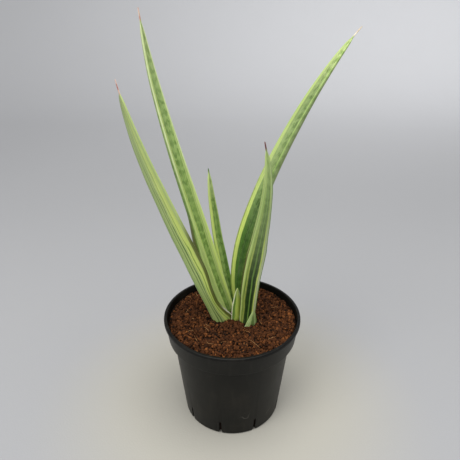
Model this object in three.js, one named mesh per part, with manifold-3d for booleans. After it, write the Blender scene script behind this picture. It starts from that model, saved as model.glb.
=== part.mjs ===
// Potted snake plant: five channelled leaves, a short inner sheath and an outer scale grow
// from one buried root crown, in coarse potting mix, in a moulded nursery pot.
// Millimetres and degrees. +Z is up, +X is right, +Y is away from the front.
// The origin is the centre of the pot's underside.

import * as THREE from "three";
import { mergeVertices } from "three/addons/utils/BufferGeometryUtils.js";
import Module from "manifold-3d";

const wasm = await Module();
wasm.setup();

// ---------------------------------------------------------------- driving dimensions

const CLEARANCE = 0.35; // gap kept between neighbouring pieces

const POT_HEIGHT = 100;
const RIM_RADIUS = 60;
const FOOT_RADIUS = 44;
const WALL = 1.4;
const LIP_HEIGHT = 2.8;
const LIP_OVERHANG = 1.2;
const COLLAR_HEIGHT = 16.2;
const COLLAR_DRAFT = 2.2; // how much the collar narrows towards its foot
const SHOULDER_STEP = 4.4; // how far the body stands in from the collar
const SHOULDER_FALL = 1.4;
const FOOT_CHAMFER = 1.2;

const PAD_RADIUS = 15; // flat centre of the underside
const CHANNEL_HEIGHT = 2.5; // the raised drain channel round the pad
const FOOT_RING_WIDTH = 5;
const CHANNEL_SLOPE = 1.5;
const DRAIN_HOLES = 6;
const DRAIN_HOLE_RADIUS = 3.5;
const DRAIN_SLOTS = 9;
const DRAIN_SLOT_WIDTH = 2;
const DRAIN_SLOT_HEIGHT = 11;
const DRAIN_SLOT_DEPTH = 5;
const DRAIN_SLOT_AZIMUTH = 256.5; // the first slot, left of the front

const SOIL_BELOW_RIM = 6;
const SOIL_CROWN_RISE = 1.5;

const CROWN_CENTRE = [1.5, 3.5];
const CROWN_RADIUS = 19;
const CROWN_FLATTENING = 0.8; // front to back, against side to side
const CROWN_HEIGHT = 30;
const CROWN_BELOW_SOIL = 0.8;
const ROOT_RADIUS = 1.8;
const ROOT_REACH = 22;
const ROOT_AZIMUTHS = [20, 95, 160, 235, 300];

const LEAF_FOOT_DEPTH = 10; // how far below the soil's edge the leaves start
const RIM_THICKNESS = 1.3; // of a leaf's margin
const SPINE_WIDTH = 1.3; // of a leaf's dry tip
const SPINE_END = 0.5; // how much of that is left at the very end
const TIP_BLUNTNESS = 0.7; // below 1 keeps the blade full close to its tip
const CLASP_LENGTH = 20; // how far up a base holds its neighbours

const LATHE_STEPS = 40;
const LEAF_STEP = 12; // greatest length between a leaf's sections
const FEWEST_LEAF_STEPS = 6;
const SECTION_STEPS = 6;

// Each leaf starts at root. Heading is the direction that it leans towards, counted from +X
// towards +Y. Lean is its angle from upright. Roll turns its section about its own length, and
// wrap is the angle that the section curls through. Lists run from the foot to the tip. Width is
// measured round the curl where the blade is fullest, at that share of its length. Foot is the
// share of the width at the base, taper is how late the blade narrows, spine is the length of the
// dry tip, and clasp is the extra width with which the base holds its neighbours.
const LEAVES = [
  {
    name: "leaf_centre_young", root: [2, 16], length: 139, width: 10.2, thickness: 4,
    heading: [128, 125, 122], lean: [20, 19, 15, 9], roll: [0, 0], wrap: [150, 110, 70],
    foot: 0.83, fullest: 0.31, taper: 1.9, spine: 2, clasp: 0,
  },
  {
    name: "inner_sheath", root: [4.5, 1], length: 40, width: 9, thickness: 2.2,
    heading: [262, 264, 266], lean: [2, 2, 1], roll: [0, 0], wrap: [120, 100, 60],
    foot: 1, fullest: 0.4, taper: 4, spine: 0, clasp: 0,
  },
  {
    name: "leaf_left_tall", root: [2.5, 9.5], length: 274, width: 18.5, thickness: 5.5,
    heading: [152, 147, 141], lean: [26, 20, 18.5, 8.5], roll: [-10, 0], wrap: [200, 125, 70],
    foot: 0.72, fullest: 0.26, taper: 1.5, spine: 8, clasp: 0,
  },
  {
    name: "leaf_right_tall", root: [12, 11], length: 280, width: 21, thickness: 6,
    heading: [19, 25, 33], lean: [-23, 17, 32.5, 52], roll: [0, 0], wrap: [170, 145, 70],
    foot: 0.72, fullest: 0.3, taper: 1.45, spine: 10, clasp: 0,
  },
  {
    name: "leaf_right_front", root: [12.8, -3], length: 177, width: 20.5, thickness: 5.5,
    heading: [306, 309, 311], lean: [1, 11, 9, -19], roll: [0, 0], wrap: [170, 130, 70],
    foot: 0.8, fullest: 0.5, taper: 0.8, spine: 5, clasp: 0,
  },
  {
    name: "leaf_left_outer", root: [-8, 1], length: 229, width: 26.5, thickness: 5.5,
    heading: [198, 193, 192], lean: [17.5, 20.5, 19, 11], roll: [22, 14], wrap: [170, 135, 70],
    foot: 0.85, fullest: 0.32, taper: 2.1, spine: 9, clasp: 12,
  },
  {
    name: "outer_scale", root: [18.1, -6.3], length: 25, width: 21, thickness: 1.8,
    heading: [325, 326, 328], lean: [3, 5, 6], roll: [0, 0], wrap: [113, 113, 60],
    foot: 1, fullest: 0.35, taper: 1, spine: 0, clasp: 0,
  },
];

// ------------------------------------------------------------------- derived dimensions

const COLLAR_TOP_RADIUS = RIM_RADIUS - LIP_OVERHANG;
const COLLAR_FOOT_RADIUS = COLLAR_TOP_RADIUS - COLLAR_DRAFT;
const BODY_TOP_RADIUS = COLLAR_FOOT_RADIUS - SHOULDER_STEP;
const COLLAR_FOOT_Z = POT_HEIGHT - LIP_HEIGHT - COLLAR_HEIGHT;
const BODY_TOP_Z = COLLAR_FOOT_Z - SHOULDER_FALL;
const SOIL_EDGE_Z = POT_HEIGHT - SOIL_BELOW_RIM;
const LEAF_FOOT_Z = SOIL_EDGE_Z - LEAF_FOOT_DEPTH;
const CROWN_TOP_Z = SOIL_EDGE_Z + SOIL_CROWN_RISE - CROWN_BELOW_SOIL;

// ------------------------------------------------------------------------------ solids

const radians = THREE.MathUtils.degToRad;

function closedPoints(geometry) {
  const bare = geometry.clone();
  bare.deleteAttribute("normal");
  bare.deleteAttribute("uv");
  return mergeVertices(bare, 1e-4);
}

function toManifold(geometry) {
  const closed = closedPoints(geometry);
  return new wasm.Manifold(new wasm.Mesh({
    numProp: 3,
    vertProperties: new Float32Array(closed.attributes.position.array),
    triVerts: new Uint32Array(closed.index.array),
  }));
}

function toGeometry(manifold) {
  const mesh = manifold.getMesh();
  const geometry = new THREE.BufferGeometry();
  geometry.setAttribute("position", new THREE.BufferAttribute(mesh.vertProperties, 3));
  geometry.setIndex(new THREE.BufferAttribute(mesh.triVerts, 1));
  geometry.computeVertexNormals();
  return geometry;
}

function cutBy(solid, cutters) {
  return cutters.reduce((left, cutter) => left.subtract(cutter), solid);
}

// A profile of [radius, height] pairs turned round the Z axis.
function turned(profile) {
  const points = profile.map(([radius, height]) => new THREE.Vector2(radius, height));
  return new THREE.LatheGeometry(points, LATHE_STEPS).rotateX(Math.PI / 2);
}

// -------------------------------------------------------------------------------- pot

// The pot's inner surface from the rim down to the axis, standing inset from the plastic.
function potInside(inset) {
  const channelInner = PAD_RADIUS - WALL - inset;
  const channelOuter = FOOT_RADIUS - FOOT_RING_WIDTH + WALL + inset;
  const floor = WALL + inset;
  return [
    [COLLAR_TOP_RADIUS - WALL - inset, POT_HEIGHT],
    [COLLAR_FOOT_RADIUS - WALL - inset, COLLAR_FOOT_Z + WALL + inset],
    [BODY_TOP_RADIUS - WALL - inset, BODY_TOP_Z + WALL + inset],
    [FOOT_RADIUS - WALL - inset, floor],
    [channelOuter, floor],
    [channelOuter - CHANNEL_SLOPE, CHANNEL_HEIGHT + floor],
    [channelInner + CHANNEL_SLOPE, CHANNEL_HEIGHT + floor],
    [channelInner, floor],
    [0, floor],
  ];
}

function potOutside() {
  const ringInner = FOOT_RADIUS - FOOT_RING_WIDTH;
  const lipFoot = POT_HEIGHT - LIP_HEIGHT;
  const lipRound = LIP_OVERHANG;
  const profile = [
    [0, 0],
    [PAD_RADIUS, 0],
    [PAD_RADIUS + CHANNEL_SLOPE, CHANNEL_HEIGHT],
    [ringInner - CHANNEL_SLOPE, CHANNEL_HEIGHT],
    [ringInner, 0],
    [FOOT_RADIUS - FOOT_CHAMFER, 0],
    [FOOT_RADIUS, FOOT_CHAMFER],
    [BODY_TOP_RADIUS, BODY_TOP_Z],
    [COLLAR_FOOT_RADIUS, COLLAR_FOOT_Z],
    [COLLAR_TOP_RADIUS, lipFoot],
    [RIM_RADIUS, lipFoot],
  ];
  for (const angle of [0, 30, 60, 90]) {
    profile.push([
      RIM_RADIUS - lipRound * (1 - Math.cos(radians(angle))),
      POT_HEIGHT - lipRound * (1 - Math.sin(radians(angle))),
    ]);
  }
  return profile;
}

function slotCutter(index) {
  const reach = DRAIN_SLOT_DEPTH + 4;
  const box = new THREE.BoxGeometry(reach, DRAIN_SLOT_WIDTH, DRAIN_SLOT_HEIGHT * 2);
  box.translate(FOOT_RADIUS - DRAIN_SLOT_DEPTH + reach / 2, 0, 0);
  return box.rotateZ(radians(DRAIN_SLOT_AZIMUTH + (index * 360) / DRAIN_SLOTS));
}

function holeCutter(index) {
  const ringInner = FOOT_RADIUS - FOOT_RING_WIDTH;
  const cylinder = new THREE.CylinderGeometry(DRAIN_HOLE_RADIUS, DRAIN_HOLE_RADIUS, 30, 20);
  cylinder.rotateX(Math.PI / 2).translate((PAD_RADIUS + ringInner) / 2, 0, 0);
  return cylinder.rotateZ(radians((index * 360) / DRAIN_HOLES));
}

function repeated(count, build) {
  return Array.from({ length: count }, (_, index) => toManifold(build(index)));
}

function potSolid() {
  const shell = toManifold(turned([...potOutside(), ...potInside(0)]));
  return cutBy(shell, [...repeated(DRAIN_SLOTS, slotCutter), ...repeated(DRAIN_HOLES, holeCutter)]);
}

// ------------------------------------------------------------------------------ leaves

// A smooth curve through values spread evenly from 0 to 1.
function along(values, t) {
  return values.reduce((sum, value, i) => {
    let weight = 1;
    for (let j = 0; j < values.length; j += 1) {
      if (j !== i) {
        weight *= (t * (values.length - 1) - j) / (i - j);
      }
    }
    return sum + value * weight;
  }, 0);
}

// Width round the curl at t, from 0 at the foot to 1 at the tip.
function widthAt(leaf, t) {
  const blade = Math.min(1, t / (1 - leaf.spine / leaf.length));
  const rise = leaf.foot + (1 - leaf.foot) * Math.sin((Math.PI / 2) * Math.min(blade / leaf.fullest, 1));
  const past = Math.max(0, (blade - leaf.fullest) / (1 - leaf.fullest));
  const spine = SPINE_WIDTH * (1 - (1 - SPINE_END) * t ** 20);
  return Math.max(leaf.width * rise * (1 - past ** leaf.taper) ** TIP_BLUNTNESS, spine);
}

function thicknessAt(leaf, width) {
  return Math.min(leaf.thickness * Math.sqrt(width / leaf.width), Math.max(width * 0.55, SPINE_WIDTH * 0.8));
}

// Directions at t: along the leaf, towards its inner face, and across it.
function directionsAt(leaf, t) {
  const heading = radians(along(leaf.heading, t));
  const lean = radians(along(leaf.lean, t));
  const roll = radians(along(leaf.roll, t));
  const forward = new THREE.Vector3(
    Math.sin(lean) * Math.cos(heading), Math.sin(lean) * Math.sin(heading), Math.cos(lean));
  const inner = new THREE.Vector3(
    -Math.cos(lean) * Math.cos(heading), -Math.cos(lean) * Math.sin(heading), Math.sin(lean));
  inner.applyAxisAngle(forward, roll);
  return { forward, inner, across: forward.clone().cross(inner) };
}

// One curled section as a ring of points: the outer face, a rim, the inner face, a rim.
function sectionRing(leaf, t, centre, directions, grow) {
  const width = widthAt(leaf, t);
  const thickness = thicknessAt(leaf, width);
  const rim = Math.min(RIM_THICKNESS, thickness * 0.6);
  const radius = width / radians(along(leaf.wrap, t));
  const clasp = leaf.clasp * Math.exp(-(((t * leaf.length) / CLASP_LENGTH) ** 2));
  const curl = (width + clasp) / radius;
  const sag = (radius * (1 - Math.cos(curl / 2))) / 2;
  const place = (turn, out) => {
    const reach = radius + out;
    return centre.clone()
      .addScaledVector(directions.across, reach * Math.sin(turn))
      .addScaledVector(directions.inner, radius - sag - reach * Math.cos(turn));
  };
  const outer = [];
  const inner = [];
  for (let step = 0; step <= SECTION_STEPS; step += 1) {
    const across = (2 * step) / SECTION_STEPS - 1;
    const swell = rim + (thickness - rim) * (1 - across ** 2) ** 0.8;
    const turn = (across * curl) / 2;
    outer.push(place(turn, 0.6 * swell + grow));
    inner.unshift(place(turn, -0.4 * swell - grow));
  }
  const rimTurn = curl / 2 + (rim / 2 + grow) / radius;
  return [...outer, place(rimTurn, 0.1 * rim), ...inner, place(-rimTurn, 0.1 * rim)];
}

function leafRings(leaf, grow) {
  const rings = [];
  const centre = new THREE.Vector3(leaf.root[0], leaf.root[1], LEAF_FOOT_Z);
  const steps = Math.max(Math.ceil(leaf.length / LEAF_STEP), FEWEST_LEAF_STEPS);
  for (let index = 0; index <= steps; index += 1) {
    const t = index / steps;
    const directions = directionsAt(leaf, t);
    if (index > 0) {
      const middle = directionsAt(leaf, t - 0.5 / steps).forward;
      centre.addScaledVector(middle, leaf.length / steps);
    }
    const stretch = index === 0 ? -grow : index === steps ? grow : 0;
    const place = centre.clone().addScaledVector(directions.forward, stretch);
    rings.push(sectionRing(leaf, t, place, directions, grow));
  }
  return rings;
}

// Side faces between rings, and a strip of faces across the thickness at each end.
function loftGeometry(rings) {
  const size = rings[0].length;
  const faces = [];
  for (let row = 0; row + 1 < rings.length; row += 1) {
    for (let i = 0; i < size; i += 1) {
      const a = row * size + i;
      const b = row * size + ((i + 1) % size);
      faces.push(a, a + size, b + size, a, b + size, b);
    }
  }
  const last = (rings.length - 1) * size;
  for (let low = 0, high = size - 2; low + 1 < high; low += 1, high -= 1) {
    faces.push(low, low + 1, high, low + 1, high - 1, high);
    faces.push(last + low, last + high, last + low + 1, last + low + 1, last + high, last + high - 1);
  }
  faces.push(size - 1, 0, size - 2, last + size - 1, last + size - 2, last);
  const geometry = new THREE.BufferGeometry().setFromPoints(rings.flat());
  geometry.setIndex(faces);
  return geometry;
}

function leafSolid(leaf, grow) {
  return toManifold(loftGeometry(leafRings(leaf, grow)));
}

// -------------------------------------------------------------------- root crown and soil

// The crown's profile. Opened, it reaches up through the soil, so that no thin soil covers it.
function crownProfile(grow, opened) {
  const top = opened ? POT_HEIGHT : CROWN_TOP_Z + grow;
  const profile = [[0, CROWN_TOP_Z - CROWN_HEIGHT - grow]];
  for (const angle of [-70, -50, -30, -10]) {
    profile.push([
      (CROWN_RADIUS + grow) * Math.cos(radians(angle)),
      CROWN_TOP_Z - CROWN_HEIGHT * 0.2 + (CROWN_HEIGHT * 0.8 + grow) * Math.sin(radians(angle)),
    ]);
  }
  profile.push([CROWN_RADIUS + grow, CROWN_TOP_Z - CROWN_HEIGHT * 0.2]);
  profile.push([CROWN_RADIUS - 1 + grow, top]);
  profile.push([0, top]);
  return profile;
}

function rootGeometry(azimuth, grow) {
  const angle = radians(azimuth);
  const point = (reach, drop) => new THREE.Vector3(
    CROWN_CENTRE[0] + reach * Math.cos(angle),
    CROWN_CENTRE[1] + reach * Math.sin(angle),
    CROWN_TOP_Z - CROWN_HEIGHT * 0.5 - drop,
  );
  const path = new THREE.CatmullRomCurve3([
    point(CROWN_RADIUS * 0.4, 0),
    point(CROWN_RADIUS * 0.4 + ROOT_REACH * 0.6, 6),
    point(CROWN_RADIUS * 0.4 + ROOT_REACH, 26 + grow),
  ]);
  const section = new THREE.Shape().absarc(0, 0, ROOT_RADIUS + grow, 0, 2 * Math.PI);
  return new THREE.ExtrudeGeometry(section, { steps: 6, curveSegments: 3, extrudePath: path });
}

function crownSolid(grow, opened) {
  const crown = turned(crownProfile(grow, opened));
  crown.scale(1, CROWN_FLATTENING, 1).translate(CROWN_CENTRE[0], CROWN_CENTRE[1], 0);
  const roots = ROOT_AZIMUTHS.map((azimuth) => toManifold(rootGeometry(azimuth, grow)));
  return roots.reduce((body, root) => body.add(root), toManifold(crown));
}

function soilSolid() {
  const sides = potInside(CLEARANCE);
  const [top, foot] = sides;
  const share = (SOIL_EDGE_Z - foot[1]) / (top[1] - foot[1]);
  const edge = foot[0] + (top[0] - foot[0]) * share;
  const surface = [1, 0.8, 0.6, 0.4, 0.2, 0].map((reach) => [
    edge * reach,
    SOIL_EDGE_Z + SOIL_CROWN_RISE * (1 - reach ** 2),
  ]);
  return toManifold(turned([...sides.slice(1).reverse(), ...surface]));
}

// ---------------------------------------------------------------------------- assembly

const finishes = {
  pot: new THREE.MeshStandardMaterial({ color: 0x262726, roughness: 0.45, metalness: 0 }),
  soil: new THREE.MeshStandardMaterial({ color: 0x5b3422, roughness: 0.95, metalness: 0 }),
  root: new THREE.MeshStandardMaterial({ color: 0xb98a5a, roughness: 0.8, metalness: 0 }),
  leaf: new THREE.MeshStandardMaterial({ color: 0x6f9647, roughness: 0.45, metalness: 0 }),
  sheath: new THREE.MeshStandardMaterial({ color: 0x86a844, roughness: 0.5, metalness: 0 }),
};

const group = new THREE.Group();

function addPiece(name, solid, finish) {
  const mesh = new THREE.Mesh(toGeometry(solid), finish);
  mesh.name = name;
  group.add(mesh);
}

// A leaf that clasps the ones listed before it is cut back to clear them.
const grownLeaves = [];
for (const leaf of LEAVES) {
  const finish = leaf.spine > 0 ? finishes.leaf : finishes.sheath;
  addPiece(leaf.name, cutBy(leafSolid(leaf, 0), grownLeaves), finish);
  grownLeaves.push(leafSolid(leaf, CLEARANCE));
}

addPiece("root_crown", cutBy(crownSolid(0, false), grownLeaves), finishes.root);
addPiece("soil", cutBy(soilSolid(), [...grownLeaves, crownSolid(CLEARANCE, true)]), finishes.soil);
addPiece("pot", potSolid(), finishes.pot);

export default group;
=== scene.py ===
"""A potted snake plant: channelled variegated leaves in coarse potting mix and a nursery pot.

Lengths in the dataclasses are millimetres and angles are degrees. Meshes are made in metres, in
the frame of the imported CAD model: +Z up, +X right, +Y away from the front, and the origin at the
centre of the pot's underside.
"""

import logging
import math
from dataclasses import dataclass
from enum import Enum

import bmesh
import bpy
import numpy as np
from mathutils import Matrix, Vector, noise
from mathutils.bvhtree import BVHTree


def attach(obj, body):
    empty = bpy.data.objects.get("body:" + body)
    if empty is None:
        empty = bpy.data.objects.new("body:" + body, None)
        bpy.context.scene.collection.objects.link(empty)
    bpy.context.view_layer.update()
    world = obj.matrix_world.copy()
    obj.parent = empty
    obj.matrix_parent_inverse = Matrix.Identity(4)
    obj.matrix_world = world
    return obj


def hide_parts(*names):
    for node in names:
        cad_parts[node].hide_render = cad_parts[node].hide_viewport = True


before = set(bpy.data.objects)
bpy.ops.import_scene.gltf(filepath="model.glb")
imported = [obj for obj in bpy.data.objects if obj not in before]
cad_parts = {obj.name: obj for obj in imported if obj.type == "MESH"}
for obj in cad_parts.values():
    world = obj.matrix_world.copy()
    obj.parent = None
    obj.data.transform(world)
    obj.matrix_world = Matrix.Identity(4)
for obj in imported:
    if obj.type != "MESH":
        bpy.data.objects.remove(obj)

LOG = logging.getLogger("snake_plant")
MM = 0.001
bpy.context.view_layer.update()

Numbers = tuple[float, ...]
Colour = tuple[float, float, float]
Profile = list[tuple[float, float]]
Faces = list[tuple[int, ...]]


# --------------------------------------------------------------------------- small tools


def colour(red: int, green: int, blue: int) -> Colour:
    """Turn display values from 0 to 255 into linear light.

    Args:
        red: Red from 0 to 255.
        green: Green from 0 to 255.
        blue: Blue from 0 to 255.

    Returns:
        The linear colour.
    """
    shares = (red / 255, green / 255, blue / 255)
    return tuple(c / 12.92 if c <= 0.04045 else ((c + 0.055) / 1.055) ** 2.4 for c in shares)


def along(values: Numbers, t: np.ndarray) -> np.ndarray:
    """Run a smooth curve through values spread evenly from 0 to 1.

    Args:
        values: The values that the curve passes through.
        t: Where to read the curve, from 0 to 1.

    Returns:
        The curve's values at t.
    """
    last = len(values) - 1
    total = np.zeros_like(t, dtype=float)
    for i, value in enumerate(values):
        weight = np.ones_like(total)
        for j in range(len(values)):
            if j != i:
                weight = weight * (t * last - j) / (i - j)
        total += value * weight
    return total


def smooth(low: float, high: float, value: np.ndarray) -> np.ndarray:
    """Ease from 0 at low to 1 at high."""
    share = np.clip((value - low) / (high - low), 0.0, 1.0)
    return share * share * (3 - 2 * share)


def ripple(rng: np.random.Generator, t: np.ndarray, waves: int, strength: float) -> np.ndarray:
    """Add up a few random slow waves.

    Args:
        rng: The source of phases and sizes.
        t: Where to read the waves, from 0 to 1.
        waves: The number of waves, each faster than the one before.
        strength: The size of the slowest wave.

    Returns:
        The sum of the waves at t.
    """
    total = np.zeros_like(t)
    for index in range(1, waves + 1):
        phase = rng.uniform(0, 2 * math.pi)
        size = strength * rng.uniform(0.5, 1.0) / index
        total += size * np.sin(2 * math.pi * index * t + phase)
    return total


def make_piece(
    name: str,
    points: np.ndarray,
    faces: Faces | np.ndarray,
    attributes: dict[str, np.ndarray] | None = None,
    shaded_smooth: bool = True,
) -> bpy.types.Object:
    """Make a mesh object from points in millimetres.

    Args:
        name: The piece's name.
        points: One row of x, y, z for each vertex, in millimetres.
        faces: Vertex numbers of each face.
        attributes: Named values for each vertex, one number or three.
        shaded_smooth: Whether the faces are shaded smooth.

    Returns:
        The new object, linked to the scene.
    """
    mesh = bpy.data.meshes.new(name)
    rows = faces.tolist() if isinstance(faces, np.ndarray) else faces
    mesh.from_pydata((points * MM).tolist(), [], rows)
    for key, values in (attributes or {}).items():
        is_vector = values.ndim == 2
        layer = mesh.attributes.new(key, "FLOAT_VECTOR" if is_vector else "FLOAT", "POINT")
        field = "vector" if is_vector else "value"
        layer.data.foreach_set(field, values.astype(np.float32).ravel())
    mesh.polygons.foreach_set("use_smooth", [shaded_smooth] * len(mesh.polygons))
    mesh.update()
    piece = bpy.data.objects.new(name, mesh)
    bpy.context.scene.collection.objects.link(piece)
    return piece


def fit_out(piece: bpy.types.Object, material: bpy.types.Material) -> None:
    """Give a piece its material and its place on the root body."""
    piece.data.materials.clear()
    piece.data.materials.append(material)
    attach(piece, "root")


def filleted(corners: list[tuple[float, float, float]], steps: int = 4) -> Profile:
    """Round the corners of an open profile.

    Args:
        corners: Radius, height and fillet radius of each corner.
        steps: The number of short edges in each rounded corner.

    Returns:
        The rounded profile as radius and height pairs.
    """
    profile: Profile = []
    for index, (radius, height, fillet) in enumerate(corners):
        here = np.array([radius, height])
        if fillet <= 0 or index in (0, len(corners) - 1):
            profile.append((radius, height))
            continue
        back = np.array(corners[index - 1][:2]) - here
        ahead = np.array(corners[index + 1][:2]) - here
        back_length = np.linalg.norm(back)
        ahead_length = np.linalg.norm(ahead)
        back, ahead = back / back_length, ahead / ahead_length
        half = math.acos(float(np.clip(back @ ahead, -0.999, 0.999))) / 2
        reach = min(fillet / math.tan(half), back_length * 0.45, ahead_length * 0.45)
        start, end = here + back * reach, here + ahead * reach
        for step in range(steps + 1):
            share = step / steps
            point = (1 - share) ** 2 * start + 2 * share * (1 - share) * here + share**2 * end
            profile.append((float(point[0]), float(point[1])))
    return profile


def turned(profile: Profile, segments: int) -> tuple[np.ndarray, Faces]:
    """Turn a profile that starts and ends on the axis round Z.

    Args:
        profile: Radius and height pairs.
        segments: The number of steps round the axis.

    Returns:
        The points in millimetres and the faces of a closed solid.
    """
    turn = np.arange(segments) * 2 * math.pi / segments
    rows = profile[1:-1]
    points = [(0.0, 0.0, profile[0][1])]
    for radius, height in rows:
        points += [(radius * math.cos(a), radius * math.sin(a), height) for a in turn]
    points.append((0.0, 0.0, profile[-1][1]))
    faces: Faces = []
    last = len(points) - 1
    for j in range(segments):
        k = (j + 1) % segments
        faces.append((0, 1 + k, 1 + j))
        for row in range(len(rows) - 1):
            low, high = 1 + row * segments, 1 + (row + 1) * segments
            faces.append((low + j, low + k, high + k, high + j))
        top = 1 + (len(rows) - 1) * segments
        faces.append((top + j, top + k, last))
    return np.array(points), faces


def tube_faces(sides: int, rings: int) -> Faces:
    """Join rings of points into a closed tube with flat ends."""
    faces: Faces = []
    for low in range(0, (rings - 1) * sides, sides):
        for i in range(sides):
            j = (i + 1) % sides
            faces.append((low + i, low + j, low + sides + j, low + sides + i))
    last = (rings - 1) * sides
    return [*faces, tuple(reversed(range(sides))), tuple(last + i for i in range(sides))]


class Gathered:
    """Points and faces gathered from many small solids into one mesh."""

    def __init__(self) -> None:
        """Start with nothing."""
        self.rows: list[np.ndarray] = []
        self.faces: Faces = []
        self.count = 0

    def add(self, points: np.ndarray, faces: Faces) -> None:
        """Add one solid, whose faces count its own points from 0."""
        self.faces += [tuple(self.count + i for i in face) for face in faces]
        self.rows.append(points)
        self.count += len(points)

    @property
    def points(self) -> np.ndarray:
        """All the points."""
        return np.concatenate(self.rows)


# ------------------------------------------------------------------------ shader writing


class Signal:
    """An output socket that takes part in sums, differences and products."""

    def __init__(self, graph: "Graph", socket: bpy.types.NodeSocket) -> None:
        """Keep the socket and the writer of its tree."""
        self.graph = graph
        self.socket = socket

    def __add__(self, other: "Value") -> "Signal":
        """Add a number."""
        return self.graph.math("ADD", self, other)

    def __sub__(self, other: "Value") -> "Signal":
        """Take a number away."""
        return self.graph.math("SUBTRACT", self, other)

    def __rsub__(self, other: "Value") -> "Signal":
        """Take this away from a number."""
        return self.graph.math("SUBTRACT", other, self)

    def __mul__(self, other: "Value") -> "Signal":
        """Multiply by a number."""
        return self.graph.math("MULTIPLY", self, other)


Value = Signal | float | tuple[float, ...]


class Made:
    """A new node, whose outputs are read as signals."""

    def __init__(self, graph: "Graph", node: bpy.types.Node) -> None:
        """Keep the node and the writer of its tree."""
        self.graph = graph
        self.node = node

    def __getitem__(self, key: str | int) -> Signal:
        """Read one output, by name or number."""
        return Signal(self.graph, self.node.outputs[key])


class Graph:
    """Writes the nodes of one shader tree, a method call for each."""

    def __init__(self, tree: bpy.types.NodeTree) -> None:
        """Start from an empty tree."""
        self.tree = tree
        tree.nodes.clear()

    def put(self, socket: bpy.types.NodeSocket, value: Value) -> None:
        """Link a socket to a signal, or set it to a constant."""
        if isinstance(value, Signal):
            self.tree.links.new(value.socket, socket)
        elif socket.type == "RGBA" and len(value) == 3:
            socket.default_value = (*value, 1.0)
        else:
            socket.default_value = value

    def node(self, kind: str, inputs: dict[str | int, Value], **settings: object) -> Made:
        """Add a node.

        Args:
            kind: The node's type name without its ShaderNode prefix.
            inputs: Constants or signals for its inputs, by name or number.
            **settings: The node's own properties.

        Returns:
            The new node.
        """
        made = self.tree.nodes.new("ShaderNode" + kind)
        for key, setting in settings.items():
            setattr(made, key, setting)
        for key, value in inputs.items():
            self.put(made.inputs[key], value)
        return Made(self, made)

    def math(self, operation: str, first: Value, second: Value = 0.0) -> Signal:
        """Combine two numbers.

        Args:
            operation: The math node's operation.
            first: The first number.
            second: The second number.

        Returns:
            The result.
        """
        return self.node("Math", {0: first, 1: second}, operation=operation)[0]

    def ease(self, value: Value, low: Value, high: Value) -> Signal:
        """Ease from 0 at low to 1 at high, downwards if high is below low."""
        inputs = {"Value": value, "From Min": low, "From Max": high}
        return self.node("MapRange", inputs, interpolation_type="SMOOTHSTEP")["Result"]

    def spread(self, value: Value, low: float, high: float) -> Signal:
        """Stretch a value from 0..1 to low..high."""
        return self.node("MapRange", {"Value": value, "To Min": low, "To Max": high})["Result"]

    def blend(self, share: Value, first: Value, second: Value, kind: str = "MIX") -> Signal:
        """Mix two colours.

        Args:
            share: How much of the second colour is mixed in.
            first: The first colour.
            second: The second colour.
            kind: The blend type.

        Returns:
            The mixed colour.
        """
        inputs = {"Factor": share, 6: first, 7: second}
        return self.node("Mix", inputs, data_type="RGBA", blend_type=kind)[2]

    def noise(self, place: Value, scale: Value, detail: float = 2.0, rough: float = 0.5) -> Signal:
        """Read soft noise.

        Args:
            place: The point that is read.
            scale: The pattern's frequency.
            detail: The number of finer layers.
            rough: How strong the finer layers are.

        Returns:
            The noise, about 0 to 1.
        """
        inputs = {"Vector": place, "Scale": scale, "Detail": detail, "Roughness": rough}
        return self.node("TexNoise", inputs)["Fac"]

    def point(self, x: Value, y: Value, z: Value) -> Signal:
        """Join three numbers into a point."""
        return self.node("CombineXYZ", {0: x, 1: y, 2: z})[0]

    def split(self, point: Value) -> tuple[Signal, Signal, Signal]:
        """Split a point into its three numbers."""
        parts = self.node("SeparateXYZ", {0: point})
        return parts[0], parts[1], parts[2]

    def attribute(self, name: str) -> Made:
        """Read a named mesh value."""
        return self.node("Attribute", {}, attribute_name=name, attribute_type="GEOMETRY")

    def place(self) -> Signal:
        """Read the surface's own position."""
        return self.node("TexCoord", {})["Object"]

    def use(self, group: bpy.types.NodeTree, inputs: dict[str, Value]) -> Made:
        """Place a node group with its own values."""
        return self.node("Group", inputs, node_tree=group)

    def close_group(self, values: dict[str, Value]) -> bpy.types.NodeTree:
        """Send the results to the group's outputs, and give back the finished group."""
        end = self.tree.nodes.new("NodeGroupOutput")
        for key, value in values.items():
            self.put(end.inputs[key], value)
        return self.tree

    def close_material(self, inputs: dict[str, Value], height: Value, depth: float) -> None:
        """Finish a material with a Principled shader and a bump.

        Args:
            inputs: Constants or signals for the shader's inputs.
            height: The bump's height.
            depth: The bump's depth in metres.
        """
        bump = self.node("Bump", {"Strength": 1.0, "Distance": depth, "Height": height})
        shader = self.node("BsdfPrincipled", {**inputs, "Normal": bump["Normal"]})
        self.node("OutputMaterial", {"Surface": shader[0]})


class SocketKind(Enum):
    """The kinds of socket that the node groups use."""

    NUMBER = "NodeSocketFloat"
    COLOUR = "NodeSocketColor"
    VECTOR = "NodeSocketVector"


Sockets = dict[str, SocketKind]


def numbers(*names: str) -> Sockets:
    """Name some number sockets."""
    return {name: SocketKind.NUMBER for name in names}


def start_group(name: str, inputs: Sockets, outputs: Sockets) -> tuple[Graph, dict[str, Signal]]:
    """Make an empty shader node group with named sockets.

    Args:
        name: The group's name.
        inputs: The kind of each input by name.
        outputs: The kind of each output by name.

    Returns:
        The group's writer and its inputs by name.
    """
    tree = bpy.data.node_groups.new(name, "ShaderNodeTree")
    for direction, sockets in (("INPUT", inputs), ("OUTPUT", outputs)):
        for key, kind in sockets.items():
            tree.interface.new_socket(name=key, in_out=direction, socket_type=kind.value)
    graph = Graph(tree)
    start = Made(graph, tree.nodes.new("NodeGroupInput"))
    return graph, {key: start[key] for key in inputs}


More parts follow.
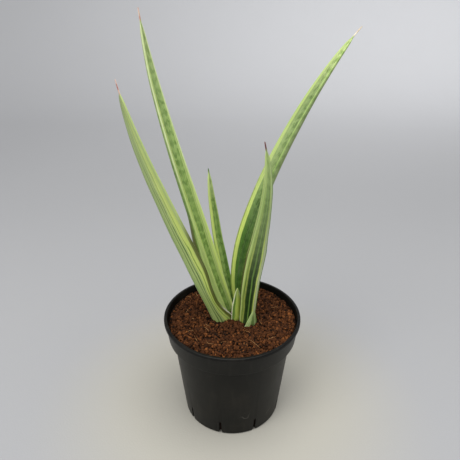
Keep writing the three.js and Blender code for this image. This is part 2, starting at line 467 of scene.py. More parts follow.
def start_material(name: str) -> tuple[Graph, bpy.types.Material]:
    """Make a material with an empty tree."""
    material = bpy.data.materials.new(name)
    material.use_nodes = True
    return Graph(material.node_tree), material


class Effects:
    """The shader node groups that several materials share, each built once."""

    def __init__(self) -> None:
        """Build every group."""
        self.stripes = self._stripes()
        self.mottle = self._mottle()
        self.dust = self._dust()
        self.variegation = self._variegation()

    @staticmethod
    def _stripes() -> bpy.types.NodeTree:
        """Build lines that run along a leaf and wander a little sideways."""
        inputs = numbers("Across", "Along", "Seed", "Fineness", "Drift")
        graph, start = start_group("leaf_lines", inputs, numbers("Mask"))
        across, distance, seed, fineness, drift = start.values()
        wander = graph.noise(graph.point(across * 2.0, distance * 0.16, seed), 1.0) - 0.5
        shifted = across + wander * drift
        fine = graph.noise(graph.point(shifted * fineness, distance * 0.09, seed), 1.0, 3.0, 0.55)
        return graph.close_group({"Mask": graph.ease(fine, 0.36, 0.64)})

    @staticmethod
    def _mottle() -> bpy.types.NodeTree:
        """Build a two-scale mottle from dark to light round a middle colour."""
        tints = {key: SocketKind.COLOUR for key in ("Dark", "Middle", "Light")}
        inputs = {"Place": SocketKind.VECTOR, **numbers("Scale", "Tone"), **tints}
        outputs = {"Color": SocketKind.COLOUR, **numbers("Height")}
        graph, start = start_group("mottle", inputs, outputs)
        coarse = graph.noise(start["Place"], start["Scale"], 3.0, 0.6)
        fine = graph.noise(start["Place"], start["Scale"] * 4.3, 2.0, 0.6)
        mixed = coarse * 0.6 + fine * 0.4
        tone = mixed + (start["Tone"] - 0.5)
        low = graph.blend(graph.ease(tone, 0.2, 0.52), start["Dark"], start["Middle"])
        full = graph.blend(graph.ease(tone, 0.52, 0.9), low, start["Light"])
        return graph.close_group({"Color": full, "Height": mixed})

    @staticmethod
    def _dust() -> bpy.types.NodeTree:
        """Build thin patches of dust with a few specks in them."""
        inputs = {"Place": SocketKind.VECTOR, **numbers("Scale", "Amount")}
        graph, start = start_group("dust", inputs, numbers("Mask"))
        patches = graph.ease(graph.noise(start["Place"], start["Scale"], 4.0, 0.6), 0.42, 0.8)
        cells = graph.node("TexVoronoi", {"Vector": start["Place"], "Scale": start["Scale"] * 14.0})
        specks = graph.ease(cells["Distance"], 0.16, 0.06)
        rare = graph.ease(graph.node("SeparateColor", {0: cells["Color"]})[0], 0.8, 0.86)
        mask = (patches * 0.6 + specks * rare) * start["Amount"]
        return graph.close_group({"Mask": graph.math("MINIMUM", mask, 1.0)})

    def _variegation(self) -> bpy.types.NodeTree:
        """Build a leaf's wandering stripe coordinate, its cross-bands, streaks and relief."""
        outputs = numbers("Across", "Bands", "Streaks", "Hair", "Height")
        graph, start = start_group("leaf_variegation", numbers("Across", "Along", "Seed"), outputs)
        across, distance, seed = start.values()

        def lines(fineness: float, drift: float, shift: float) -> Signal:
            """Read the shared lines at one fineness."""
            inputs = {**start, "Seed": seed + shift, "Fineness": fineness, "Drift": drift}
            return graph.use(self.stripes, inputs)["Mask"]

        fine, hair = lines(13.0, 0.08, 7.3), lines(34.0, 0.03, 3.1)
        wander = graph.noise(graph.point(across * 1.5, distance * 0.45, seed), 1.0, 3.0) - 0.5
        shifted = across + (hair - 0.5) * 0.03 + wander * 0.13
        patchy = graph.noise(graph.point(across * 2.4, distance * 1.7, seed + 4.0), 1.0, 2.0)
        wave = graph.math("SINE", (patchy * 1.7 + distance * 1.2) * (2 * math.pi))
        ragged = wave + (hair - 0.5) * 0.9 + (fine - 0.5) * 1.2
        uneven = graph.noise(graph.point(across, distance * 0.7, seed + 11.0), 1.0, 2.0)
        strength = graph.spread(graph.ease(uneven, 0.3, 0.65), 0.45, 1.0)
        bands = graph.ease(ragged, -0.7, 0.9) * strength
        relief = hair * 0.5 + fine * 0.5
        return graph.close_group({"Across": shifted, "Bands": bands, "Streaks": fine, "Hair": hair,
                                  "Height": relief})


# ------------------------------------------------------------------------------ finishes


class Tint(Enum):
    """The colours of a leaf's long stripes."""

    YELLOW = colour(212, 228, 122)
    LEMON = colour(196, 211, 112)
    LIME = colour(182, 202, 92)
    STRAW = colour(150, 164, 78)
    PALE = colour(184, 202, 124)
    SAGE = colour(170, 188, 118)
    CREAM = colour(206, 216, 166)
    SILVER = colour(152, 172, 112)
    GREEN = colour(146, 174, 92)
    MID = colour(106, 140, 60)
    LEAFY = colour(82, 112, 46)
    DEEP = colour(76, 114, 44)
    DARK = colour(40, 66, 20)
    OLIVE = colour(70, 76, 20)
    BROWN = colour(98, 80, 46)


@dataclass(frozen=True)
class Stripe:
    """One stop of a leaf's stripes: its place across the blade and its tint."""

    place: float
    tint: Tint
    banded: float = 0.0


def band(first: float, last: float, tint: Tint, banded: float = 0.0) -> tuple[Stripe, Stripe]:
    """Make the two stops of one even stripe."""
    return Stripe(first, tint, banded), Stripe(last, tint, banded)


@dataclass(frozen=True)
class LeafFinish:
    """How one leaf is coloured. Distances are in centimetres along the leaf."""

    name: str
    seed: float
    spine_start: float
    outer: tuple[Stripe, ...]
    inner: tuple[Stripe, ...]
    edge: Colour = colour(170, 168, 104)
    edge_high: Colour = colour(178, 194, 120)
    edge_amount: float = 0.6
    margin_fade: float = 0.0
    # Painted shade: the colour, span across the blade and reach up the leaf of a darker strip on the outer
    # face, standing in for the flank in shadow.
    painted_flank_shade: Colour = colour(70, 76, 20)
    flank_shade_first: float = -2.0
    flank_shade_last: float = -0.78
    flank_shade_reach: float = -9.0
    spine: Colour = colour(196, 148, 124)
    spine_flush: Colour = colour(150, 62, 54)
    band_shade: Colour = (0.32, 0.44, 0.2)
    band_amount: float = 0.6
    streak_light: Colour = (1.35, 1.25, 1.3)
    streak_amount: float = 0.3
    hair_shade: Colour = (0.55, 0.66, 0.45)
    hair_amount: float = 0.42
    tip_amount: float = 0.3
    tip: Colour = colour(160, 182, 118)
    tip_from: float = 0.35
    tip_to: float = 0.95
    top: Colour = colour(186, 204, 136)
    top_amount: float = 0.4
    length: float = 20.0
    paper_reach: float = 1.6
    paper: Colour = colour(244, 238, 220)
    dust: Colour = colour(188, 178, 156)
    roughness: tuple[float, float] = (0.36, 0.56)
    specular: float = 0.36
    coat: float = 0.04
    depth: float = 0.00025

    def stripes(self, graph: Graph, across: Signal, stops: tuple[Stripe, ...]) -> Made:
        """Lay the stripes of one face across the blade.

        Args:
            graph: The material's writer.
            across: Place across the blade from -1 to 1.
            stops: The stripes in order of place.

        Returns:
            The ramp node: its colour is the tint and its alpha how far cross-bands show.
        """
        ramp = graph.node("ValToRGB", {"Fac": across * 0.5 + 0.5})
        elements = ramp.node.color_ramp.elements
        while len(elements) > 1:
            elements.remove(elements[-1])
        for index, stop in enumerate(stops):
            place = (stop.place + 1) / 2
            element = elements[0] if index == 0 else elements.new(place)
            element.position = place
            element.color = (*stop.tint.value, stop.banded)
        return ramp

    def flank_shade_share(self, graph: Graph, across: Signal, distance: Signal) -> Signal:
        """Find the painted shade of the outer flank: a darker strip that runs up the outer face from the
        foot.

        Args:
            graph: The material's writer.
            across: Place across the blade from -1 to 1.
            distance: Distance from the foot.

        Returns:
            How far the strip covers, from 0 to 1.
        """
        lean_in = across + distance * 0.012
        inner_end = graph.ease(lean_in, self.flank_shade_last + 0.05, self.flank_shade_last - 0.03)
        outer_end = graph.ease(across, self.flank_shade_first - 0.03, self.flank_shade_first + 0.03)
        return inner_end * outer_end * graph.ease(distance, self.flank_shade_reach + 3.0, self.flank_shade_reach)

    def make(self, effects: Effects) -> bpy.types.Material:
        """Build the leaf's material.

        Args:
            effects: The shared node groups.

        Returns:
            The new material.
        """
        graph, material = start_material(self.name)
        across, distance, _ = graph.split(graph.attribute("blade")["Vector"])
        inner = graph.attribute("inner")["Fac"]
        rim = graph.attribute("rim")["Fac"]
        inputs = {"Across": across, "Along": distance, "Seed": self.seed}
        pattern = graph.use(effects.variegation, inputs)

        def grown(first: float, last: float) -> Signal:
            """Ease in between two shares of the leaf's length."""
            return graph.ease(distance, self.length * first, self.length * last)

        # The long stripes of each face; the pale margins narrow towards the tip.
        squeezed = pattern["Across"] * (grown(0.15, 0.85) * -self.margin_fade + 1.0)
        outside = self.stripes(graph, squeezed, self.outer)
        inside = self.stripes(graph, squeezed, self.inner)
        side = graph.ease(inner, 0.3, 0.7)
        body = graph.blend(side, outside["Color"], inside["Color"])
        banded = pattern["Bands"] * (outside["Alpha"] + (inside["Alpha"] - outside["Alpha"]) * side)
        body = graph.blend(grown(self.tip_from, self.tip_to) * self.tip_amount, body, self.tip)
        body = graph.blend(grown(0.74, 0.93) * self.top_amount, body, self.top)
        for share, shade in (
            (banded * self.band_amount, self.band_shade),
            (pattern["Streaks"] * self.streak_amount, self.streak_light),
            (pattern["Hair"] * self.hair_amount, self.hair_shade),
        ):
            body = graph.blend(share, body, shade, "MULTIPLY")

        # The painted shade on the outer flank, and the rims, whose colour comes and goes along the leaf.
        painted_flank_shade = self.flank_shade_share(graph, across, distance) * (1.0 - inner)
        body = graph.blend(painted_flank_shade * 0.9, body, self.painted_flank_shade)
        wander = graph.noise(graph.point(0.0, distance * 2.6, self.seed), 1.0, 3.0)
        edge = graph.blend(grown(0.42, 0.58), self.edge, self.edge_high)
        edge_share = graph.ease(rim, 0.45, 0.9) * graph.spread(wander, 0.3, 1.3)
        body = graph.blend(edge_share * self.edge_amount, body, edge)

        # Dry paper along the margins at the foot, the dry spine, and a little dust.
        reach = self.paper_reach - wander * 0.8
        margin = graph.ease(graph.math("ABSOLUTE", across), 0.93, 0.985)
        papery = graph.ease(distance, reach + 1.0, reach) * margin
        body = graph.blend(papery * 0.85, body, self.paper)
        place = graph.place()
        flush = graph.ease(graph.noise(place, 260.0, 1.0), 0.45, 0.6)
        dried = graph.blend(flush * 0.7, self.spine, self.spine_flush)
        dry = graph.ease(distance, self.spine_start - 0.2, self.spine_start + 0.15)
        body = graph.blend(dry, body, dried)
        dust = graph.use(effects.dust, {"Place": place, "Scale": 60.0, "Amount": 0.1})
        body = graph.blend(dust["Mask"], body, self.dust)
        waxy = graph.spread(graph.noise(place, 220.0, 3.0), *self.roughness)
        shader = {"Base Color": body, "Roughness": waxy + papery * 0.3,
                  "Specular IOR Level": self.specular, "Coat Weight": self.coat,
                  "Coat Roughness": 0.4, "Subsurface Weight": 0.12,
                  "Subsurface Radius": (0.6, 0.9, 0.25), "Subsurface Scale": 0.002}
        graph.close_material(shader, pattern["Height"], self.depth)
        return material


@dataclass(frozen=True)
class PlasticFinish:
    """Moulded black plastic with dust, handling marks and a few pale scuffs."""

    name: str = "nursery_pot_plastic"
    black: Colour = colour(8, 8, 6)
    worn: Colour = colour(15, 15, 12)
    dust: Colour = colour(84, 78, 68)
    scuff: Colour = colour(150, 146, 138)
    roughness: tuple[float, float] = (0.36, 0.5)
    specular: float = 0.16
    depth: float = 0.00006

    def make(self, effects: Effects) -> bpy.types.Material:
        """Build the plastic.

        Args:
            effects: The shared node groups.

        Returns:
            The new material.
        """
        graph, material = start_material(self.name)
        place = graph.place()
        x, y, z = graph.split(place)
        cloudy = graph.noise(place, 38.0, 4.0, 0.6)
        body = graph.blend(cloudy * 0.5, self.black, self.worn)
        drips = graph.noise(graph.point(x * 7.0, y * 7.0, z), 34.0, 3.0)
        body = graph.blend(graph.ease(drips, 0.52, 0.78) * 0.07, body, self.dust)
        dust = graph.use(effects.dust, {"Place": place, "Scale": 34.0, "Amount": 0.22})["Mask"]
        body = graph.blend(dust, body, self.dust)
        inputs = {"Vector": place, "Scale": 46.0, "Distortion": 9.0, "Detail": 2.0}
        wave = graph.node("TexWave", inputs, wave_type="RINGS")["Fac"]
        patch = graph.ease(graph.noise(place, 26.0, 1.0), 0.62, 0.7)
        scuffed = graph.ease(wave, 0.985, 1.0) * patch * graph.ease(z, 0.034, 0.012)
        body = graph.blend(scuffed * 0.55, body, self.scuff)
        height = graph.noise(place, 1500.0, 2.0) * 0.6 + cloudy * 0.4
        rough = graph.spread(cloudy, *self.roughness) + dust * 0.5
        shader = {"Base Color": body, "Roughness": rough, "Specular IOR Level": self.specular}
        graph.close_material(shader, height, self.depth)
        return material


@dataclass(frozen=True)
class GrainFinish:
    """Crumbs, fibres or bark, each piece with its own tone."""

    name: str
    dark: Colour
    middle: Colour
    light: Colour
    scale: float = 900.0
    depth: float = 0.0003
    toned: bool = True

    def make(self, effects: Effects) -> bpy.types.Material:
        """Build the material.

        Args:
            effects: The shared node groups.

        Returns:
            The new material.
        """
        graph, material = start_material(self.name)
        tone: Value = graph.attribute("tone")["Fac"] if self.toned else 0.5
        inputs = {"Place": graph.place(), "Scale": self.scale, "Tone": tone,
                  "Dark": self.dark, "Middle": self.middle, "Light": self.light}
        mottle = graph.use(effects.mottle, inputs)
        shader = {"Base Color": mottle["Color"], "Specular IOR Level": 0.12,
                  "Roughness": graph.spread(mottle["Height"], 0.7, 0.95)}
        graph.close_material(shader, mottle["Height"], self.depth)
        return material


# ------------------------------------------------------------------------------- the pot


@dataclass(frozen=True)
class PotSize:
    """The nursery pot."""

    height: float = 100.0
    rim_radius: float = 60.0
    foot_radius: float = 44.0
    wall: float = 1.4
    lip_height: float = 2.8
    lip_overhang: float = 1.2
    collar_height: float = 16.2
    collar_draft: float = 2.2
    shoulder_step: float = 4.4
    shoulder_fall: float = 1.4
    foot_chamfer: float = 1.2
    pad_radius: float = 15.0
    channel_height: float = 2.5
    channel_slope: float = 1.5
    ring_width: float = 5.0
    gate_radius: float = 1.6
    gate_depth: float = 0.5
    holes: int = 6
    hole_radius: float = 3.5
    slots: int = 9
    slot_width: float = 2.0
    slot_height: float = 15.0
    slot_flare: float = 1.6
    slot_depth: float = 5.0
    slot_azimuth: float = 256.5
    hole_sides: int = 24
    out_of_round: float = 0.12
    oval_from: float = 30.0
    oval_from_z: float = 20.0
    segments: int = 192

    @property
    def collar_top_radius(self) -> float:
        """Outer radius of the collar under the lip."""
        return self.rim_radius - self.lip_overhang

    @property
    def collar_foot_radius(self) -> float:
        """Outer radius of the collar at its foot."""
        return self.collar_top_radius - self.collar_draft

    @property
    def body_top_radius(self) -> float:
        """Outer radius of the tapered body at its top."""
        return self.collar_foot_radius - self.shoulder_step

    @property
    def collar_foot_z(self) -> float:
        """Height of the collar's foot."""
        return self.height - self.lip_height - self.collar_height

    @property
    def body_top_z(self) -> float:
        """Height of the tapered body's top."""
        return self.collar_foot_z - self.shoulder_fall

    def inside(self, inset: float) -> list[tuple[float, float, float]]:
        """Corners of the inner surface from the rim to the axis.

        Args:
            inset: The distance from the plastic.

        Returns:
            Radius, height and fillet radius of each corner.
        """
        step = self.wall + inset
        floor = self.wall + inset
        channel_inner = self.pad_radius - step
        channel_outer = self.foot_radius - self.ring_width + step
        return [
            (self.collar_top_radius - step, self.height, 0.3),
            (self.collar_foot_radius - step, self.collar_foot_z + floor, 0.8),
            (self.body_top_radius - step, self.body_top_z + floor, 0.8),
            (self.foot_radius - step, floor, 0.6),
            (channel_outer, floor, 0.4),
            (channel_outer - self.channel_slope, self.channel_height + floor, 0.4),
            (channel_inner + self.channel_slope, self.channel_height + floor, 0.4),
            (channel_inner, floor, 0.4),
            (0.0, floor, 0.0),
        ]

    def outside(self) -> list[tuple[float, float, float]]:
        """Corners of the outer surface from the underside's centre to the rim."""
        ring_inner = self.foot_radius - self.ring_width
        lip_foot = self.height - self.lip_height
        return [
            (0.0, self.gate_depth, 0.0),
            (self.gate_radius, self.gate_depth, 0.2),
            (self.gate_radius + 0.5, 0.0, 0.2),
            (self.pad_radius, 0.0, 0.4),
            (self.pad_radius + self.channel_slope, self.channel_height, 0.4),
            (ring_inner - self.channel_slope, self.channel_height, 0.4),
            (ring_inner, 0.0, 0.4),
            (self.foot_radius - self.foot_chamfer, 0.0, 0.5),
            (self.foot_radius, self.foot_chamfer, 0.6),
            (self.body_top_radius, self.body_top_z, 0.6),
            (self.collar_foot_radius, self.collar_foot_z, 0.6),
            (self.collar_top_radius, lip_foot, 0.25),
            (self.rim_radius, lip_foot, 0.3),
            (self.rim_radius, self.height, 1.1),
        ]


class NurseryPot:
    """A thin moulded pot with a collar, a rolled lip, drain slots and drain holes."""

    def __init__(self, size: PotSize, finish: PlasticFinish) -> None:
        """Keep the sizes and the finish."""
        self.size = size
        self.finish = finish
        self.piece: bpy.types.Object | None = None

    def mesh(self) -> None:
        """Turn the wall and cut the drain openings."""
        size = self.size
        points, faces = turned(filleted(size.outside() + size.inside(0.0)), size.segments)
        radius = np.hypot(points[:, 0], points[:, 1])
        azimuth = np.arctan2(points[:, 1], points[:, 0])
        oval = size.out_of_round * (np.cos(2 * azimuth + 0.7) - 1)
        oval = oval * smooth(size.oval_from_z, size.height, points[:, 2])
        share = 1 + np.where(radius > size.oval_from, oval, 0.0) / size.rim_radius
        points[:, :2] *= share[:, None]
        self.piece = make_piece("nursery_pot", points, faces)
        cutter = self._cutter()
        cut = self.piece.modifiers.new("drains", "BOOLEAN")
        cut.operation = "DIFFERENCE"
        cut.solver = "EXACT"
        cut.object = cutter
        depsgraph = bpy.context.evaluated_depsgraph_get()
        carved = bpy.data.meshes.new_from_object(self.piece.evaluated_get(depsgraph))
        self.piece.modifiers.clear()
        self.piece.data = carved
        bpy.data.objects.remove(cutter)
        carved.set_sharp_from_angle(angle=math.radians(38))

    def _cutter(self) -> bpy.types.Object:
        """Make the rounded slot and hole cutters as one mesh."""
        size = self.size
        half = size.slot_width / 2
        flare = half + size.slot_flare
        arch_z = size.slot_height - half
        outline = [(-flare, -2.0), (flare, -2.0), (half, size.slot_flare * 2), (half, arch_z)]
        outline += [(half * math.cos(a), arch_z + half * math.sin(a))
                    for a in np.linspace(0, math.pi, 9)[1:-1]]
        outline += [(-half, arch_z), (-half, size.slot_flare * 2)]
        ends = (size.foot_radius - size.slot_depth, size.foot_radius + 4.0)
        slot = [(x, y, z) for x in ends for y, z in outline]
        ring = np.arange(size.hole_sides) * 2 * math.pi / size.hole_sides
        lane = (size.pad_radius + size.foot_radius - size.ring_width) / 2
        hole = [(lane + size.hole_radius * math.cos(a), size.hole_radius * math.sin(a), z)
                for z in (12.0, -5.0) for a in ring]
        cutters = Gathered()
        for block, count, first in ((slot, size.slots, size.slot_azimuth), (hole, size.holes, 0.0)):
            x, y, z = np.array(block).T
            for index in range(count):
                azimuth = math.radians(first + index * 360 / count)
                turned_x = x * math.cos(azimuth) - y * math.sin(azimuth)
                turned_y = x * math.sin(azimuth) + y * math.cos(azimuth)
                solid = np.stack([turned_x, turned_y, z], axis=1)
                cutters.add(solid, tube_faces(len(block) // 2, 2))
        return make_piece("drain_cutter", cutters.points, cutters.faces)

    def dress(self, effects: Effects) -> None:
        """Give the pot its plastic."""
        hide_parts("pot")
        fit_out(self.piece, self.finish.make(effects))


# ----------------------------------------------------------------------------- the leaves


@dataclass(frozen=True)
class LeafSize:
    """A channelled leaf. Lists run from the foot to the tip."""

    name: str
    node: str
    root: tuple[float, float]
    length: float
    width: float
    thickness: float
    heading: Numbers
    lean: Numbers
    wrap: Numbers
    foot: float
    fullest: float
    taper: float
    roll: Numbers = (0.0, 0.0)
    spine: float = 0.0
    clasp: float = 0.0
    flap: float = 0.0
    flap_length: float = 36.0
    flap_full: float = 10.0
    flap_drop: float = 0.45
    pinch: float = 0.0
    pinch_span: tuple[float, float] = (75.0, 40.0)
    belly: float = 0.0
    belly_span: tuple[float, float] = (0.41, 0.27)
    ribs: float = 9.0
    rib_depth: float = 0.16
    channel_depth: float = 0.08
    sway: float = 0.35
    seed: int = 1
    foot_z: float = 84.0
    rim: float = 1.3
    spine_width: float = 2.3
    spine_end: float = 0.3
    clasp_length: float = 20.0
    thin_at: float = 12.0
    thin_reach: float = 14.0
    step: float = 1.5
    samples: int = 49


class Leaf:
    """One leaf: an outer face with long ribs, an inner channel, thin rims and a dry spine."""

    RIM_STEPS = 3
    FEWEST_RINGS = 24
    DENT = 0.22

    def __init__(self, size: LeafSize, finish: LeafFinish, slot: str = "leaf") -> None:
        """Keep the sizes, the finish and the record slot."""
        self.size = size
        self.finish = finish
        self.slot = slot
        self.piece: bpy.types.Object | None = None
        self.points = np.zeros((0, 3))

    def widths(self, t: np.ndarray) -> np.ndarray:
        """Width round the curl at t, from 0 at the foot to 1 at the tip."""
        size = self.size
        blade = np.minimum(1.0, t / (1 - size.spine / size.length))
        rise = size.foot + (1 - size.foot) * np.sin(math.pi / 2 * np.minimum(blade / size.fullest, 1.0))
        past = np.maximum(0.0, (blade - size.fullest) / (1 - size.fullest))
        spine = size.spine_width * (1 - (1 - size.spine_end) * t**6)
        return np.maximum(size.width * rise * (1 - past**size.taper) ** 0.7, spine)

    def directions(self, t: np.ndarray) -> tuple[np.ndarray, np.ndarray, np.ndarray]:
        """Directions along the leaf, towards its inner face and across it at t."""
        size = self.size
        heading = np.radians(along(size.heading, t))
        lean = np.radians(along(size.lean, t))
        roll = np.radians(along(size.roll, t))[:, None]
        side = (np.cos(heading), np.sin(heading))
        forward = np.stack([np.sin(lean) * side[0], np.sin(lean) * side[1], np.cos(lean)], axis=1)
        inner = np.stack([-np.cos(lean) * side[0], -np.cos(lean) * side[1], np.sin(lean)], axis=1)
        across = np.cross(forward, inner)
        turned_inner = inner * np.cos(roll) + across * np.sin(roll)
        return forward, turned_inner, np.cross(forward, turned_inner)

    def _centre_line(
        self, rng: np.random.Generator, t: np.ndarray
    ) -> tuple[np.ndarray, np.ndarray, np.ndarray]:
        """Run the leaf's centre line, which sways a little between its ends.

        Args:
            rng: The source of the sway.
            t: Each ring's share of the length.

        Returns:
            The line's points, and the directions towards the inner face and across the blade.
        """
        size = self.size
        inner, across = self.directions(t)[1:]
        middle = self.directions((t[1:] + t[:-1]) / 2)[0]
        steps = np.concatenate([np.zeros((1, 3)), np.cumsum(middle, axis=0)])
        centre = np.array([*size.root, size.foot_z]) + steps * size.length / len(middle)
        fade = (smooth(0.0, 0.2, t) * smooth(1.0, 0.8, t))[:, None]
        centre = centre + across * ripple(rng, t, 4, size.sway)[:, None] * fade
        centre = centre + inner * ripple(rng, t, 4, size.sway * 0.6)[:, None] * fade
        return centre, inner, across

    def mesh(self) -> None:
        """Build the leaf as one closed skin with its pattern coordinates."""
        size = self.size
        rng = np.random.default_rng(size.seed)
        t = np.linspace(0, 1, max(self.FEWEST_RINGS, math.ceil(size.length / size.step)) + 1)
        distance = t * size.length
        centre, inner, across = self._centre_line(rng, t)

        # Each ring's width, thickness and curl.
        width = self.widths(t)
        uneven = width * (1 + ripple(rng, t, 7, 0.012))
        width = np.where(width > size.spine_width * 1.2, uneven, width)
        thickness = np.minimum(size.thickness * np.sqrt(width / size.width), 0.8 * width)
        thin = 1 - 0.6 * np.exp(-((distance - size.thin_at) / size.thin_reach) ** 2)
        rim = np.minimum(size.rim, thickness * 0.6) * thin
        radius = width / np.radians(along(size.wrap, t))
        clasp = size.clasp * np.exp(-((distance / size.clasp_length) ** 2))
        curl = (width + clasp) / radius
        sag = radius * (1 - np.cos(curl / 2)) / 2
        thickness, rim, radius, curl, sag = (
            values[:, None] for values in (thickness, rim, radius, curl, sag)
        )

        # The relief of both faces, from edge to edge.
        share = np.sin(np.linspace(-math.pi / 2, math.pi / 2, size.samples)) * 0.35
        share = share + 0.65 * np.linspace(-1, 1, size.samples)
        swell = rim + (thickness - rim) * (1 - share**2) ** 0.8
        body = np.clip(thickness / size.thickness, 0.0, 1.0) ** 1.5 * (1 - share**8)
        drift = ripple(rng, t, 5, 0.5)[:, None]
        ribs = np.cos(math.pi * size.ribs * share + drift)
        ribs = ribs + 0.5 * np.cos(math.pi * size.ribs * 1.7 * share + 1.9 * drift + 0.8)
        grooves = np.cos(math.pi * size.ribs * 0.8 * share - drift + 0.5)
        dents = self._dents(rng, t, share)
        fuller = smooth(-1.0, -0.75, share) * smooth(0.1, -0.4, share)
        keel = size.belly * smooth(*size.belly_span, t)[:, None] * fuller
        outer_out = 0.6 * swell + size.rib_depth * ribs * body + dents + keel
        inner_out = -0.4 * swell + size.channel_depth * grooves * body + dents

        # Each ring runs over the outer face, round one rim, back over the inner face and round.
        turn = share * curl / 2
        phase = np.linspace(0, math.pi, self.RIM_STEPS + 2)[1:-1]
        rim_turn = curl / 2 + 0.5 * rim * np.sin(phase) / radius
        rim_out = 0.1 * rim + 0.5 * rim * np.cos(phase)
        turns = np.concatenate([turn, rim_turn, turn[:, ::-1], -rim_turn[:, ::-1]], axis=1)
        outs = np.concatenate([outer_out, rim_out, inner_out[:, ::-1], rim_out[:, ::-1]], axis=1)
        reach = radius + outs
        sideways = (reach * np.sin(turns))[..., None] * across[:, None, :]
        inwards = (radius - sag - reach * np.cos(turns))[..., None] * inner[:, None, :]
        ones = np.ones(self.RIM_STEPS)
        across_row = np.concatenate([share, ones, share[::-1], -ones])
        inner_row = np.concatenate([np.zeros(size.samples), np.sin(phase / 2),
                                    np.ones(size.samples), np.sin(phase[::-1] / 2)])
        rim_row = np.abs(across_row) ** 60

        # One edge can be drawn in low down, with a flap that folds inwards and down at the foot.
        hold = (size.flap_length - distance) / (size.flap_length - size.flap_full)
        hold = size.flap * np.clip(hold, 0.0, 1.2) ** 1.6
        hold = hold - size.pinch * smooth(*size.pinch_span, distance)
        held = hold[:, None] * smooth(-0.1, -1.0, across_row) ** 2
        level = inner * np.array([1.0, 1.0, 0.0]) - np.array([0.0, 0.0, size.flap_drop])
        rows = centre[:, None, :] + sideways + inwards + held[..., None] * level[:, None, :]
        self._close(rows, across_row, inner_row, rim_row, distance)

    def _dents(self, rng: np.random.Generator, t: np.ndarray, share: np.ndarray) -> np.ndarray:
        """Shape slow uneven swellings over the blade, in millimetres."""
        total = np.zeros((len(t), len(share)))
        for waves in (3, 5, 8, 13):
            phase_a, phase_b = rng.uniform(0, 2 * math.pi, 2)
            lengthways = np.sin(2 * math.pi * waves * t[:, None] + phase_a)
            sideways = np.cos(1.3 * waves**0.5 * share + phase_b)
            total += self.DENT / waves * lengthways * sideways
        return total * smooth(0.0, 0.1, t)[:, None] * smooth(1.0, 0.85, t)[:, None]

    def _close(
        self,
        rows: np.ndarray,
        across_row: np.ndarray,
        inner_row: np.ndarray,
        rim_row: np.ndarray,
        distance: np.ndarray,
    ) -> None:
        """Join the rings, close both ends and make the object.

        Args:
            rows: Each ring's points.
            across_row: Place across the blade from -1 to 1, for each point of a ring.
            inner_row: 1 on the inner face and 0 on the outer one.
            rim_row: 1 on the rim and 0 away from it.
            distance: Each ring's distance from the foot in millimetres.
        """
        count, ring = rows.shape[:2]
        foot, tip = rows[0].mean(axis=0), rows[-1].mean(axis=0)
        tip = tip + (tip - rows[-2].mean(axis=0)) * 0.6
        points = np.concatenate([rows.reshape(-1, 3), foot[None], tip[None]])
        start = (np.arange(count - 1) * ring)[:, None]
        here = np.arange(ring)[None, :]
        after = (here + 1) % ring
        corners = [start + here, start + ring + here, start + ring + after, start + after]
        quads = np.stack(corners, axis=-1)
        faces = quads.reshape(-1, 4).tolist()
        first, last = len(points) - 2, len(points) - 1
        top = (count - 1) * ring
        for i in range(ring):
            j = (i + 1) % ring
            faces.append([first, i, j])
            faces.append([top + j, top + i, last])
        blade = np.zeros((len(points), 3))
        blade[:-2, 0] = np.tile(across_row, count)
        blade[:-2, 1] = np.repeat(distance, ring) / 10
        blade[-1, 1] = distance[-1] / 10
        inner = np.concatenate([np.tile(inner_row, count), [0, 0]])
        rim = np.concatenate([np.tile(rim_row, count), [0, 0]])
        self.points = points
        attributes = {"blade": blade, "inner": inner, "rim": rim}
        self.piece = make_piece(self.size.name, points, faces, attributes)

    def dress(self, effects: Effects) -> None:
        """Give the leaf its material."""
        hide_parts(self.size.node)
        fit_out(self.piece, self.finish.make(effects))


# ------------------------------------------------------------------------ the potting mix


def lump_shape(subdivisions: int) -> tuple[np.ndarray, np.ndarray]:
    """Make a unit ball's points and triangles."""
    ball = bmesh.new()
    bmesh.ops.create_icosphere(ball, subdivisions=subdivisions, radius=1.0)
    points = np.array([v.co[:] for v in ball.verts])
    faces = np.array([[v.index for v in face.verts] for face in ball.faces])
    ball.free()
    return points, faces


def random_turns(rng: np.random.Generator, count: int) -> np.ndarray:
    """Make random rotation matrices."""
    quaternions = rng.normal(size=(count, 4))
    quaternions /= np.linalg.norm(quaternions, axis=1)[:, None]
    w, x, y, z = quaternions.T
    rows = [[1 - 2 * (y * y + z * z), 2 * (x * y - w * z), 2 * (x * z + w * y)],
            [2 * (x * y + w * z), 1 - 2 * (x * x + z * z), 2 * (y * z - w * x)],
            [2 * (x * z - w * y), 2 * (y * z + w * x), 1 - 2 * (x * x + y * y)]]
    return np.array(rows).transpose(2, 0, 1)


@dataclass(frozen=True)
class SoilSize:
    """The potting mix."""

    below_rim: float = 6.0
    gap: float = 0.35
    rise: float = 1.5
    relief: float = 0.9
    segments: int = 144
    rings: int = 44
    coarse: int = 4600
    fine: int = 5000
    fibres: int = 60
    fibre_sides: int = 5
    fibre_steps: int = 10
    fibre_short: tuple[float, float] = (3.0, 9.0)
    fibre_long: tuple[float, float] = (9.0, 17.0)
    fibre_short_share: float = 0.85
    fibre_radius: tuple[float, float] = (0.1, 0.28)
    bump_scale: float = 0.09
    heart: tuple[float, float] = (3.0, 5.5)
    heart_reach: tuple[float, float] = (9.5, 9.0)
    dip: float = 7.5
    seed: int = 11


@dataclass(frozen=True)
class Batch:
    """One kind of loose crumb."""

    name: str
    count: int
    smallest: float
    largest: float
    subdivisions: int
    lift: float
    seed: int


